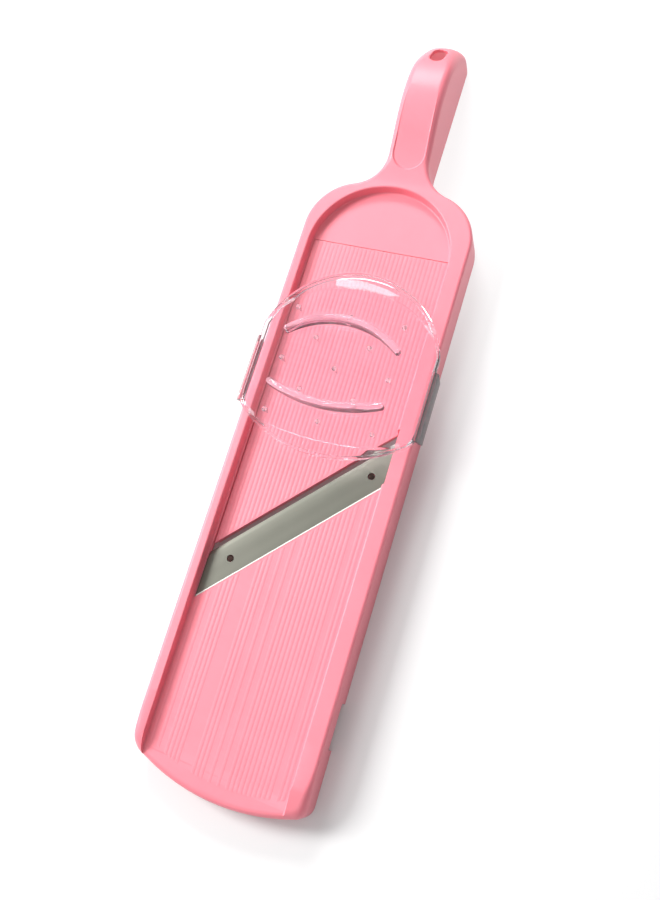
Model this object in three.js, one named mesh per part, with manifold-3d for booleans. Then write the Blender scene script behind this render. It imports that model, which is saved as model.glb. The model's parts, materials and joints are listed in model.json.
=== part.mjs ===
// Mandoline slicer: one-piece pink frame with an arched handle, a hinged infeed plate, a fixed
// diagonal blade, a thickness dial with a face cam on the underside, and a clear hand guard.
// Units are millimetres. The slicer lies flat: X is across, Y runs up to the handle, Z is up.
import * as THREE from 'three';
import * as BufferGeometryUtils from 'three/addons/utils/BufferGeometryUtils.js';
import Module from 'manifold-3d';

const wasm = await Module();
wasm.setup();

// ---- driving dimensions ----
const GAP = 0.3;                    // clearance between pieces that touch

// frame
const HALF_WIDTH = 45;
const RAIL_Z = 20;                  // top of the rails above the table
const FLOOR_Z = 14.5;               // outfeed floor between the rails
const SKIN = 2.5;                   // floor thickness
const WALL = 2.2;                   // side wall thickness
const END = { x: 5, y: -1.5, r: 105 };  // arc of the lower end: its lowest point and radius
const CORNER = { left: 10, right: 7 };
const SHOULDER = { x: 17, y: 290, r: 28 };
const NECK_RADIUS = 20;
const HANDLE_HALF = 11.3;
const TIP_Y = 414;
const RECESS = { left: -39.3, right: 35.6, domeY: 279.5 };
const NOTCH = { y0: 37, y1: 59, height: 7 };
const HANG_HOLE = { y: 396.5, halfWidth: 3.9, halfLength: 7.5 };

// stiffening ribs under the board and inside the handle
const BOARD_RIB_YS = [28, 72, 301];
const HANDLE_RIB_YS = [342, 366];

// handle hump, seen from the side
const HUMP = {
  startY: 320, startPull: 18, topY: 371, topZ: 33.3, topPull: 21, tipPull: 7, tipRise: 20, tipZ: 6,
};

// blade
const BLADE = { angle: 45.6, midY: 136.4, width: 16.2, thickness: 1, left: -38.5, right: 36.6 };
const BLADE_HOLE = { r: 1.8, xs: [-27.2, 28.8], offset: -0.3 };
const RAIL_POCKET = 1.4;            // how far the right rail is cut back for the blade's end
const SEAT_Z = FLOOR_Z - BLADE.thickness - 0.2;
const SEAT_BACK = 3.6;              // how far the cutting edge overhangs the seat
const THROAT = 3.2;                 // gap between cutting edge and infeed plate

// infeed plate and hinge
const INFEED = { top: 282.5, thickness: 2.2, left: -37.8, right: 34.8, side: 0.7, tilt: 0.579 };
const HINGE = { y: 279.4, z: 9.3, r: 1.25, knuckleR: 2.8 };
const LUG = { xs: [-33.5, -9.5, 14.5, 31], width: 3, rootY: 291 };
const KNUCKLE = { xs: [-26, 3, 22], width: 6 };

// grooved surfaces
const RIB = { pitch: 2.4, width: 1.1, height: 0.35 };

// thickness dial: knob below the bridge, cam above it
const DIAL = { x: -1.5, y: 222, knobR: 13.5, camR: 19, hubR: 4.5 };
const KNOB = { z0: 0.8, z1: 4.3, notches: 14 };
const BRIDGE = { z0: 4.6, z1: 6.6, halfWidth: 42.4, halfDepth: 15, screwX: 39.4, screwY: 10 };
const CAM = { z0: 6.9, z1: 8.3 };
const RAMP = { radius: 14, halfWidth: 2.4, rise: 1.352, turn: 270, restTurn: 90, restZ: 9.6, steps: 18 };
const DETENT = { radius: 16.5, ballR: 1.4, pocketR: 1.7, pocketFoot: 1.6, bossR: 2.6, bossFoot: 1.2 };
const SPRING = { wireR: 0.2, radius: 1.15, turns: 2, foot: 2.1, steps: 32 };
const FOLLOWER_R = 1.8;             // steel pin that rides on the ramp
const SCREW = { headR: 2.8, shankR: 1.25, holeR: 1.55 };

// hand guard
const GUARD = {
  z0: 22.8, z1: 25, half: 46.5, cornerRadius: 10,
  top: { y: 264.7, radius: 48, creaseY: 257.3, creaseRadius: 54 },
  bottom: { y: 166.8, radius: 70, creaseY: 173, creaseRadius: 150 },
  flangeDrop: 1.4, wall: 1.8, midX: -3.2, midY: 212.1,
};
const CLIP = { y0: 185, y1: 221, inner: 46.2, outer: 48.3, z0: 13.3 };
const SPIKE = { pitch: 14.2, length: 7.2, r: 1.5, tipR: 0.2 };
const RIDGE = { width: 3.6, height: 6.5, reach: 29 };

const FRAME_MID_Y = (TIP_Y + END.y) / 2;  // the model is centred on the middle of its length

// ---- materials ----
const pink = new THREE.MeshStandardMaterial({ color: 0xfa9fb0, roughness: 0.4, metalness: 0 });
const steel = new THREE.MeshStandardMaterial({ color: 0x8a8c86, roughness: 0.3, metalness: 1 });
const darkSteel = new THREE.MeshStandardMaterial({ color: 0x2c2622, roughness: 0.4, metalness: 0.8 });
const zinc = new THREE.MeshStandardMaterial({ color: 0xb9bcc0, roughness: 0.35, metalness: 1 });
const white = new THREE.MeshStandardMaterial({ color: 0xf2eeec, roughness: 0.5, metalness: 0 });
const clear = new THREE.MeshStandardMaterial({
  color: 0xf6f3f6, roughness: 0.08, metalness: 0, transparent: true, opacity: 0.35,
});

// ---- geometry helpers ----
const rad = THREE.MathUtils.degToRad;

// A closed geometry becomes a solid that can be joined and cut.
function solid(geometry) {
  const bare = geometry.index ? geometry.toNonIndexed() : geometry.clone();
  bare.deleteAttribute('normal');
  bare.deleteAttribute('uv');
  const merged = BufferGeometryUtils.mergeVertices(bare, 1e-4);
  return new wasm.Manifold(new wasm.Mesh({
    numProp: 3,
    vertProperties: new Float32Array(merged.attributes.position.array),
    triVerts: new Uint32Array(merged.index.array),
  }));
}

function mesh(name, shape, material) {
  const data = shape.getMesh();
  const geometry = new THREE.BufferGeometry();
  geometry.setAttribute('position', new THREE.BufferAttribute(new Float32Array(data.vertProperties), 3));
  geometry.setIndex(new THREE.BufferAttribute(new Uint32Array(data.triVerts), 1));
  geometry.computeVertexNormals();
  const result = new THREE.Mesh(geometry, material.clone());
  result.name = name;
  return result;
}

const join = (...parts) => parts.reduce((whole, part) => whole.add(part));
const cut = (whole, ...tools) => tools.reduce((rest, tool) => rest.subtract(tool), whole);

function block(x0, x1, y0, y1, z0, z1) {
  const geometry = new THREE.BoxGeometry(x1 - x0, y1 - y0, z1 - z0);
  return solid(geometry.translate((x0 + x1) / 2, (y0 + y1) / 2, (z0 + z1) / 2));
}

// A shape drawn in plan, raised from z0 to z1.
function plate(shape, z0, z1, curveSegments = 12) {
  const geometry = new THREE.ExtrudeGeometry(shape, { depth: z1 - z0, bevelEnabled: false, curveSegments });
  return solid(geometry.translate(0, 0, z0));
}

// A shape drawn as a side view (y, z), swept across from x0 to x1.
function sideSweep(shape, x0, x1, curveSegments = 12) {
  const geometry = new THREE.ExtrudeGeometry(shape, { depth: x1 - x0, bevelEnabled: false, curveSegments });
  const turn = new THREE.Matrix4().makeBasis(
    new THREE.Vector3(0, 1, 0), new THREE.Vector3(0, 0, 1), new THREE.Vector3(1, 0, 0));
  return solid(geometry.applyMatrix4(turn).translate(x0, 0, 0));
}

// A shape drawn as an end view (x, z), swept along from y0 to y1.
function endSweep(shape, y0, y1) {
  const geometry = new THREE.ExtrudeGeometry(shape, { depth: y1 - y0, bevelEnabled: false });
  const turn = new THREE.Matrix4().makeBasis(
    new THREE.Vector3(1, 0, 0), new THREE.Vector3(0, 0, 1), new THREE.Vector3(0, -1, 0));
  return solid(geometry.applyMatrix4(turn).translate(0, y1, 0));
}

// An upright round post, or a cone when topR differs.
function post(x, y, r, z0, z1, segments = 24, topR = r) {
  const geometry = new THREE.CylinderGeometry(topR, r, z1 - z0, segments);
  return solid(geometry.rotateX(Math.PI / 2).translate(x, y, (z0 + z1) / 2));
}

// A round rod along X.
function crossRod(x0, x1, y, z, r, segments = 20) {
  const geometry = new THREE.CylinderGeometry(r, r, x1 - x0, segments);
  return solid(geometry.rotateZ(Math.PI / 2).translate((x0 + x1) / 2, y, z));
}

const polygon = (points) => new THREE.Shape(points.map(([x, y]) => new THREE.Vector2(x, y)));

// ---- outlines ----

// The rounded corner between the end arc and a side: its centre, and its angle on the end arc.
function lowerCorner(side, radius) {
  const x = side * (HALF_WIDTH - radius);
  const centreY = END.y + END.r;
  const y = centreY - Math.sqrt((END.r - radius) ** 2 - (x - END.x) ** 2);
  return { x, y, radius, angle: Math.atan2(y - centreY, x - END.x) };
}

// The frame in plan, moved inwards by inset.
function frameOutline(inset = 0) {
  const left = lowerCorner(-1, CORNER.left);
  const right = lowerCorner(1, CORNER.right);
  const neckX = HANDLE_HALF + NECK_RADIUS;
  const reach = SHOULDER.r + NECK_RADIUS;
  const neckY = SHOULDER.y + Math.sqrt(reach ** 2 - (neckX - SHOULDER.x) ** 2);
  const neckAngle = Math.atan2(neckY - SHOULDER.y, neckX - SHOULDER.x);
  const shape = new THREE.Shape();
  shape.absarc(END.x, END.y + END.r, END.r - inset, left.angle, right.angle, false);
  shape.absarc(right.x, right.y, right.radius - inset, right.angle, 0, false);
  shape.absarc(SHOULDER.x, SHOULDER.y, SHOULDER.r - inset, 0, neckAngle, false);
  shape.absarc(neckX, neckY, NECK_RADIUS + inset, neckAngle + Math.PI, Math.PI, true);
  shape.absarc(0, TIP_Y - HANDLE_HALF, HANDLE_HALF - inset, 0, Math.PI, false);
  shape.absarc(-neckX, neckY, NECK_RADIUS + inset, 0, -neckAngle, true);
  shape.absarc(-SHOULDER.x, SHOULDER.y, SHOULDER.r - inset, Math.PI - neckAngle, Math.PI, false);
  shape.absarc(left.x, left.y, left.radius - inset, -Math.PI, left.angle, false);
  return shape;
}

// The frame's side view: flat board, then the arched handle. drop lowers and shortens it.
function sideProfile(top, drop, bottom) {
  const { startY, startPull, topY, topPull, tipPull, tipRise, tipZ } = HUMP;
  const end = TIP_Y - drop;
  const crest = HUMP.topZ - drop;
  const start = RAIL_Z - drop;
  const shape = new THREE.Shape();
  shape.moveTo(-10, bottom);
  shape.lineTo(end, bottom);
  shape.lineTo(end, tipZ - drop);
  shape.bezierCurveTo(end - tipPull, tipRise - drop, topY + topPull, crest, topY, crest);
  shape.bezierCurveTo(topY - topPull, crest, startY + startPull, start + 1, startY, start);
  shape.lineTo(startY, top);
  shape.lineTo(-10, top);
  return shape;
}

// The sunk channel between the rails: open at the lower end, half round at the handle end.
function recessOutline() {
  const mid = (RECESS.left + RECESS.right) / 2;
  const radius = (RECESS.right - RECESS.left) / 2;
  const shape = new THREE.Shape();
  shape.moveTo(RECESS.left, -10);
  shape.lineTo(RECESS.right, -10);
  shape.absarc(mid, RECESS.domeY, radius, 0, Math.PI, false);
  return shape;
}

// Distance along Y from the blade's middle line to a line parallel to it.
const slant = Math.tan(rad(BLADE.angle));
const alongY = (offset) => BLADE.midY + offset / Math.cos(rad(BLADE.angle));

// A band parallel to the blade, between two offsets from its middle line.
function diagonalBand(x0, x1, from, to) {
  return polygon([
    [x0, alongY(from) + x0 * slant], [x1, alongY(from) + x1 * slant],
    [x1, alongY(to) + x1 * slant], [x0, alongY(to) + x0 * slant],
  ]);
}

// The area above a line parallel to the blade, up to a straight top edge.
function infeedArea(x0, x1, from, top) {
  return polygon([
    [x0, alongY(from) + x0 * slant], [x1, alongY(from) + x1 * slant], [x1, top], [x0, top],
  ]);
}

// Fine ribs side by side, standing on height z.
function ribComb(x0, x1, y0, y1, z) {
  const count = Math.floor((x1 - x0) / RIB.pitch);
  const first = (x0 + x1) / 2 - ((count - 1) * RIB.pitch) / 2;
  const ribs = Array.from({ length: count }, (_, i) => {
    const x = first + i * RIB.pitch;
    const low = z - 0.5;
    const foot = RIB.width / 2;
    const crown = RIB.width / 4;
    return endSweep(polygon([
      [x - foot, low], [x + foot, low], [x + foot, z], [x + crown, z + RIB.height],
      [x - crown, z + RIB.height], [x - foot, z],
    ]), y0, y1);
  });
  return join(...ribs);
}

const bladeEdge = BLADE.width / 2;
const seatFront = bladeEdge - SEAT_BACK;
const plateEdge = bladeEdge + THROAT;

// ---- places shared by several pieces ----
const bladeScrewPlaces = BLADE_HOLE.xs.map((x) => [x, alongY(BLADE_HOLE.offset) + x * slant]);
const bridgeScrewPlaces = [-1, 1].flatMap((side) => [-1, 1].map(
  (end) => [side * BRIDGE.screwX, DIAL.y + end * BRIDGE.screwY]));
const followerY = DIAL.y - RAMP.radius;
const detentX = DIAL.x + DETENT.radius;

// ---- frame ----

// The oval hole near the handle's tip.
function hangSlot() {
  const { y, halfWidth, halfLength } = HANG_HOLE;
  const shape = new THREE.Shape();
  shape.absarc(0, y - halfLength + halfWidth, halfWidth, Math.PI, 2 * Math.PI, false);
  shape.absarc(0, y + halfLength - halfWidth, halfWidth, 0, Math.PI, false);
  return plate(shape, -1, 60);
}

// Ribs of the outfeed floor, stopping short of the rounded lower end and of the blade.
function outfeedRibs() {
  const margin = 8;
  const comb = ribComb(RECESS.left + 1, RECESS.right - 1, 5, 175, FLOOR_Z);
  const lowerEnd = post(END.x, END.y + END.r, END.r - margin, 10, 20, 96);
  const area = join(lowerEnd, block(-HALF_WIDTH, HALF_WIDTH, 60, 200, 10, 20));
  const belowBlade = plate(diagonalBand(RECESS.left, RECESS.right, -160, -bladeEdge - 1), 10, 20);
  return comb.intersect(area).intersect(belowBlade);
}

// Stiffening under the floor: a deep diagonal beam under the blade, and cross ribs.
function undersideRibs() {
  const rib = 1.8;
  const ribFoot = 6.5;
  const inside = plate(frameOutline(WALL / 2), 0, 60);
  const beamArea = diagonalBand(-HALF_WIDTH, HALF_WIDTH, -3.4, seatFront);
  const beam = plate(beamArea, ribFoot, SEAT_Z).intersect(inside);
  const boardRibs = BOARD_RIB_YS.map((y) => block(-43.5, 43.5, y, y + rib, ribFoot, 13).intersect(inside));
  const handleRibs = HANDLE_RIB_YS.map((y) => block(-10.5, 10.5, y, y + rib, ribFoot, 22));
  return join(beam, ...boardRibs, ...handleRibs);
}

// Lugs that carry the hinge rod, reaching under the infeed plate from the fixed floor.
function hingeLugs(windowTop) {
  const foot = HINGE.z - HINGE.knuckleR - GAP;
  return join(...LUG.xs.map((x) => join(
    block(x, x + LUG.width, HINGE.y - 3, LUG.rootY, foot, 11.4),
    block(x, x + LUG.width, windowTop + 0.4, LUG.rootY, foot, 12.5))));
}

// Blocks on the side walls that the bridge is screwed to.
function bridgeBosses() {
  const inner = BRIDGE.screwX - 3.2;
  const outer = HALF_WIDTH - WALL + 0.7;
  return join(...bridgeScrewPlaces.map(([x, y]) => block(
    x < 0 ? -outer : inner, x < 0 ? -inner : outer, y - 3.4, y + 3.4, BRIDGE.z1 + GAP, 10.2)));
}

function frame() {
  const recess = plate(recessOutline(), FLOOR_Z, 60, 24);
  const board = plate(frameOutline(), 0, 60).intersect(sideSweep(sideProfile(RAIL_Z, 0, 0), -60, 60));
  const cavity = plate(frameOutline(WALL), -1, 60)
    .intersect(sideSweep(sideProfile(FLOOR_Z - SKIN, SKIN, -1), -60, 60));
  const windowTop = INFEED.top + INFEED.side;
  const windowArea = infeedArea(INFEED.left - INFEED.side, INFEED.right + INFEED.side, seatFront, windowTop);
  const pocketArea = diagonalBand(
    BLADE.left - GAP, RECESS.right + RAIL_POCKET, -bladeEdge - GAP, plateEdge);
  const shell = join(cut(board, cavity, recess), outfeedRibs());
  const opened = cut(shell, plate(windowArea, -1, 30), plate(pocketArea, SEAT_Z, 30));
  const stiffened = join(opened, undersideRibs(), hingeLugs(windowTop), bridgeBosses());
  return cut(
    stiffened,
    ...bridgeScrewPlaces.map(([x, y]) => post(x, y, SCREW.holeR, BRIDGE.z1, 9.9, 16)),
    ...bladeScrewPlaces.map(([x, y]) => post(x, y, 1.35, 8, SEAT_Z + 1, 16)),
    crossRod(-38, 38, HINGE.y, HINGE.z, HINGE.r + GAP),
    block(-60, 60, NOTCH.y0, NOTCH.y1, -1, NOTCH.height),
    hangSlot());
}

// ---- infeed plate and its hinge, drawn flush with the floor ----

function infeedPlate() {
  const x0 = INFEED.left;
  const x1 = INFEED.right;
  const bottom = FLOOR_Z - INFEED.thickness;
  const bite = 0.5;                 // how far stiffeners reach into the plate
  const ribArea = infeedArea(x0 + 0.6, x1 - 0.6, plateEdge + 0.6, INFEED.top - 0.6);
  const ribs = ribComb(x0, x1, 90, INFEED.top, FLOOR_Z).intersect(plate(ribArea, 10, 20));
  const edgeBand = diagonalBand(x0 + 1, x1 - 1, plateEdge, plateEdge + 2.4);
  const edgeBar = plate(edgeBand, bottom - 2, bottom + bite);
  const sideBars = [x0 + 4.8, x1 - 6.4].map((x) => block(x, x + 1.6, 205, 268, bottom - 1, bottom + bite));
  const knuckles = KNUCKLE.xs.map((x) => join(
    crossRod(x, x + KNUCKLE.width, HINGE.y, HINGE.z, HINGE.knuckleR),
    block(x, x + KNUCKLE.width, HINGE.y - 1.6, HINGE.y + 1.6, HINGE.z, bottom + bite)));
  const pinBoss = post(DIAL.x, followerY, 3.4, bottom - 1, bottom + bite, 20);
  const area = plate(infeedArea(x0, x1, plateEdge, INFEED.top), bottom, FLOOR_Z);
  return cut(
    join(area, ribs, edgeBar, ...sideBars, ...knuckles, pinBoss),
    crossRod(-40, 40, HINGE.y, HINGE.z, HINGE.r + GAP),
    post(DIAL.x, followerY, FOLLOWER_R + GAP, bottom - 2, bottom + 1.2, 20));
}

// Domed steel pin in the plate's underside that rides on the cam.
function followerPin() {
  const top = FLOOR_Z - INFEED.thickness + 0.9;
  const drop = Math.sin(rad(INFEED.tilt)) * (HINGE.y - followerY);
  const tip = RAMP.restZ + GAP + drop;
  const profile = [[0, tip], [1.1, tip + 0.15], [FOLLOWER_R, tip + 0.8], [FOLLOWER_R, top], [0, top]];
  const geometry = new THREE.LatheGeometry(profile.map(([r, z]) => new THREE.Vector2(r, z)), 20);
  return solid(geometry.rotateX(Math.PI / 2).translate(DIAL.x, followerY, 0));
}

const hingeRod = () => crossRod(-35.4, 35.9, HINGE.y, HINGE.z, HINGE.r);

const rodClip = (x) => cut(
  crossRod(x, x + 0.7, HINGE.y, HINGE.z, 2.7),
  crossRod(x - 1, x + 2, HINGE.y, HINGE.z, HINGE.r + GAP));

// ---- blade ----

function blade() {
  const z0 = SEAT_Z + GAP;
  const z1 = z0 + BLADE.thickness;
  const body = plate(diagonalBand(BLADE.left, BLADE.right, -bladeEdge, bladeEdge), z0, z1);
  const grind = 2.4;                // width of the ground face at the cutting edge
  const wedge = polygon([[-1, z0 + 0.1], [0, z0 + 0.1], [grind, z1], [grind, z1 + 1], [-1, z1 + 1]]);
  const geometry = new THREE.ExtrudeGeometry(wedge, { depth: 160, bevelEnabled: false });
  const angle = rad(BLADE.angle);
  const along = new THREE.Vector3(Math.cos(angle), Math.sin(angle), 0);
  const inward = new THREE.Vector3(Math.sin(angle), -Math.cos(angle), 0);
  geometry.translate(0, 0, -80);
  geometry.applyMatrix4(new THREE.Matrix4().makeBasis(
    inward, new THREE.Vector3(0, 0, 1), along.clone().negate()));
  geometry.translate(-bladeEdge * inward.x, BLADE.midY - bladeEdge * inward.y, 0);
  const holes = bladeScrewPlaces.map(([x, y]) => post(x, y, BLADE_HOLE.r, 10, 20, 20));
  return cut(body, solid(geometry), ...holes);
}

// Headed pin screw, sunk flush in the blade's hole and threaded into the seat.
const bladeScrew = ([x, y]) => join(
  post(x, y, BLADE_HOLE.r - GAP, SEAT_Z + 0.3, FLOOR_Z - 0.2, 20),
  post(x, y, 1.05, 8.4, SEAT_Z + 0.5, 16));

// ---- thickness dial ----

function bridge() {
  const { z0, z1, halfWidth, halfDepth } = BRIDGE;
  const bar = block(-halfWidth, halfWidth, DIAL.y - halfDepth, DIAL.y + halfDepth, z0, z1);
  const pocket = post(detentX, DIAL.y, DETENT.bossR, DETENT.bossFoot, z0 + 0.5, 20);
  return cut(
    join(bar, pocket),
    post(DIAL.x, DIAL.y, DIAL.hubR + GAP, z0 - 1, z1 + 1, 32),
    post(detentX, DIAL.y, DETENT.pocketR, DETENT.pocketFoot, z1 + 1, 20),
    ...bridgeScrewPlaces.map(([x, y]) => post(x, y, SCREW.holeR, z0 - 1, z1 + 1, 16)));
}

const bridgeScrew = ([x, y]) => cut(
  join(
    post(x, y, SCREW.headR, 2.8, BRIDGE.z0 - GAP, 20),
    post(x, y, SCREW.shankR, BRIDGE.z0 - 0.5, 9.6, 16)),
  block(x - 2, x + 2, y - 0.35, y + 0.35, 2, 3.5),
  block(x - 0.35, x + 0.35, y - 2, y + 2, 2, 3.5));

function dialKnob() {
  const { x, y, knobR, hubR } = DIAL;
  const grips = Array.from({ length: KNOB.notches }, (_, i) => {
    const angle = (i * 2 * Math.PI) / KNOB.notches;
    return post(x + (knobR + 0.8) * Math.cos(angle), y + (knobR + 0.8) * Math.sin(angle), 1.6, 0, 5, 12);
  });
  const pointer = block(x - 0.6, x + 0.6, y - 12, y - 5, 0, KNOB.z0 + 0.5);
  return cut(
    join(post(x, y, knobR, KNOB.z0, KNOB.z1, 56), post(x, y, hubR, KNOB.z1 - 1, BRIDGE.z1, 28)),
    ...grips, pointer, post(x, y, SCREW.shankR + 0.15 + GAP, 2, 8, 16));
}

// Height of the ramp at an angle measured round the dial; turning the dial lowers the follower.
function rampHeight(angle) {
  const turned = -90 - angle;
  return RAMP.restZ - (RAMP.rise / RAMP.turn) * turned;
}

// Disc with a spiral ramp on top and a dimple underneath for each thickness setting.
function camDisc() {
  const { x, y, camR } = DIAL;
  const step = RAMP.turn / RAMP.steps;
  const start = -90 + RAMP.restTurn - RAMP.turn;
  const sectors = Array.from({ length: RAMP.steps }, (_, i) => {
    const from = rad(start + i * step);
    const to = rad(start + (i + 1) * step + 0.4);
    const shape = new THREE.Shape();
    shape.absarc(x, y, RAMP.radius + RAMP.halfWidth, from, to, false);
    shape.absarc(x, y, RAMP.radius - RAMP.halfWidth, to, from, true);
    return plate(shape, CAM.z1 - 0.4, rampHeight(start + (i + 0.5) * step), 2);
  });
  const dimples = [0, 90, 180, 270].map((angle) => post(
    x + DETENT.radius * Math.cos(rad(angle)), y + DETENT.radius * Math.sin(rad(angle)),
    DETENT.ballR, CAM.z0 - 0.5, CAM.z0 + 0.4, 16, 0.7));
  return cut(
    join(post(x, y, camR, CAM.z0, CAM.z1, 56), ...sectors),
    post(x, y, SCREW.shankR + 0.15 + GAP, 5, 12, 16), ...dimples);
}

const dialWasher = () => cut(
  post(DIAL.x, DIAL.y, 4, CAM.z1 + GAP, CAM.z1 + GAP + 0.6, 28),
  post(DIAL.x, DIAL.y, SCREW.shankR + 0.15 + GAP, 5, 12, 16));

function dialScrew() {
  const headFoot = CAM.z1 + 2 * GAP + 0.6;
  return cut(
    join(
      post(DIAL.x, DIAL.y, 3, headFoot, headFoot + 1.1, 24),
      post(DIAL.x, DIAL.y, SCREW.shankR + 0.15, 2.3, headFoot + 0.5, 16)),
    block(DIAL.x - 2.2, DIAL.x + 2.2, DIAL.y - 0.35, DIAL.y + 0.35, headFoot + 0.6, 12));
}

function detentBall() {
  const geometry = new THREE.SphereGeometry(DETENT.ballR, 20, 12);
  return solid(geometry.translate(detentX, DIAL.y, BRIDGE.z1 - DETENT.ballR));
}

// Small coil spring under the detent ball.
function detentSpring() {
  const { wireR, radius, turns, foot, steps } = SPRING;
  const top = BRIDGE.z1 - 2 * DETENT.ballR - wireR - 0.1;
  const points = Array.from({ length: steps + 1 }, (_, i) => {
    const part = i / steps;
    const angle = part * turns * 2 * Math.PI;
    return new THREE.Vector3(
      detentX + radius * Math.cos(angle), DIAL.y + radius * Math.sin(angle), foot + part * (top - foot));
  });
  const section = new THREE.Shape();
  section.absarc(0, 0, wireR, 0, 2 * Math.PI, false);
  const path = new THREE.CatmullRomCurve3(points);
  return solid(new THREE.ExtrudeGeometry(section, {
    extrudePath: path, steps, curveSegments: 6, bevelEnabled: false,
  }));
}

// ---- hand guard ----

// The guard in plan, moved inwards by inset: straight sides, arched ends, rounded lower corners.
function guardOutline(inset = 0) {
  const { half, top, bottom, cornerRadius } = GUARD;
  const side = half - inset;
  const topAngle = Math.acos(side / (top.radius - inset));
  const bottomCentre = bottom.y + bottom.radius;
  const cornerX = half - cornerRadius;
  const cornerY = bottomCentre - Math.sqrt((bottom.radius - cornerRadius) ** 2 - cornerX ** 2);
  const cornerAngle = Math.atan2(cornerY - bottomCentre, cornerX);
  const shape = new THREE.Shape();
  shape.absarc(0, bottomCentre, bottom.radius - inset, -Math.PI - cornerAngle, cornerAngle, false);
  shape.absarc(cornerX, cornerY, cornerRadius - inset, cornerAngle, 0, false);
  shape.absarc(0, top.y - top.radius, top.radius - inset, topAngle, Math.PI - topAngle, false);
  shape.absarc(-cornerX, cornerY, cornerRadius - inset, Math.PI, Math.PI - cornerAngle, false);
  return shape;
}

// A curved finger ridge, bowed towards bow (+1 up the board, -1 down it).
function fingerRidge(apexY, radius, bow) {
  const { width, height, reach } = RIDGE;
  const centreY = apexY - bow * radius;
  const half = Math.asin(reach / radius);
  const from = bow * Math.PI / 2 - half;
  const to = bow * Math.PI / 2 + half;
  const z0 = GUARD.z1 - 0.5;
  const z1 = GUARD.z1 + height;
  const band = new THREE.Shape();
  band.absarc(GUARD.midX, centreY, radius + width / 2, from, to, false);
  band.absarc(GUARD.midX, centreY, radius - width / 2, to, from, true);
  const ends = [from, to].map((angle) => post(
    GUARD.midX + radius * Math.cos(angle), centreY + radius * Math.sin(angle), width / 2, z0, z1, 16));
  return join(plate(band, z0, z1, 16), ...ends);
}

// Side clip that hangs over the board's side wall.
function sideClip(side) {
  const { y0, y1, inner, outer, z0 } = CLIP;
  const section = [
    [inner, z0], [outer, z0], [outer, 22], [GUARD.half, GUARD.z1], [GUARD.half - 1, GUARD.z1],
    [GUARD.half - 1, GUARD.z0], [inner, GUARD.z0],
  ].map(([x, z]) => [side * x, z]);
  return endSweep(polygon(side > 0 ? section : section.reverse()), y0, y1);
}

// Five rows of spikes, three and two in turn.
function spikes() {
  const top = GUARD.z0 + 0.3;
  const tip = GUARD.z0 - SPIKE.length;
  const rows = [-2, -1, 0, 1, 2];
  return join(...rows.flatMap((row) => {
    const columns = row % 2 === 0 ? [-2, 0, 2] : [-1, 1];
    return columns.map((column) => post(
      GUARD.midX + column * SPIKE.pitch, GUARD.midY + row * SPIKE.pitch, SPIKE.tipR, tip, top, 10, SPIKE.r));
  }));
}

function handGuard() {
  const { z0, z1, top, bottom, flangeDrop, wall } = GUARD;
  const between = post(0, top.creaseY - top.creaseRadius, top.creaseRadius, 0, 60, 96)
    .intersect(post(0, bottom.creaseY + bottom.creaseRadius, bottom.creaseRadius, 0, 60, 160));
  const palm = plate(guardOutline(), z0, z1, 24).intersect(between);
  const flange = plate(guardOutline(), z0 - flangeDrop, z1 - flangeDrop, 24);
  const hollow = plate(guardOutline(wall), 0, z0, 24);
  const skirt = cut(plate(guardOutline(), RAIL_Z + GAP, z0, 24), hollow);
  const underPalm = plate(guardOutline(wall), 0, z0, 24).intersect(between);
  return join(
    cut(flange, underPalm), palm, skirt, sideClip(-1), sideClip(1), spikes(),
    fingerRidge(236.6, 47, 1), fingerRidge(191.6, 75, -1));
}

// ---- assembly ----
const slicer = new THREE.Group();
slicer.position.set(0, -FRAME_MID_Y, 0);
slicer.add(mesh('frame', frame(), pink));
slicer.add(mesh('hinge_rod', hingeRod(), zinc));
slicer.add(mesh('rod_clip_left', rodClip(-34.5), zinc));
slicer.add(mesh('rod_clip_right', rodClip(34.3), zinc));
slicer.add(mesh('blade', blade(), steel));
['left', 'right'].forEach((side, i) => {
  slicer.add(mesh(`blade_screw_${side}`, bladeScrew(bladeScrewPlaces[i]), darkSteel));
});
slicer.add(mesh('bridge', bridge(), white));
bridgeScrewPlaces.forEach((place, i) => slicer.add(mesh(`bridge_screw_${i + 1}`, bridgeScrew(place), zinc)));
slicer.add(mesh('detent_ball', detentBall(), zinc));
slicer.add(mesh('detent_spring', detentSpring(), zinc));
slicer.add(mesh('dial_knob', dialKnob(), white));
slicer.add(mesh('cam_disc', camDisc(), white));
slicer.add(mesh('dial_washer', dialWasher(), zinc));
slicer.add(mesh('dial_screw', dialScrew(), zinc));
slicer.add(mesh('hand_guard', handGuard(), clear));

// the infeed plate and its pin hang from the hinge, tipped to the setting shown
const tipped = new THREE.Group();
tipped.position.set(0, HINGE.y, HINGE.z);
tipped.rotation.x = rad(INFEED.tilt);
const hung = new THREE.Group();
hung.position.set(0, -HINGE.y, -HINGE.z);
hung.add(mesh('infeed_plate', infeedPlate(), pink));
hung.add(mesh('follower_pin', followerPin(), zinc));
tipped.add(hung);
slicer.add(tipped);

export default slicer;
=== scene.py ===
# Mandoline slicer on a pale table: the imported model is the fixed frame, and the mouldings,
# the blade and the small metal parts get their finished meshes and finishes here.
import json
import math
import bpy
from mathutils import Matrix, Vector

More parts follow.
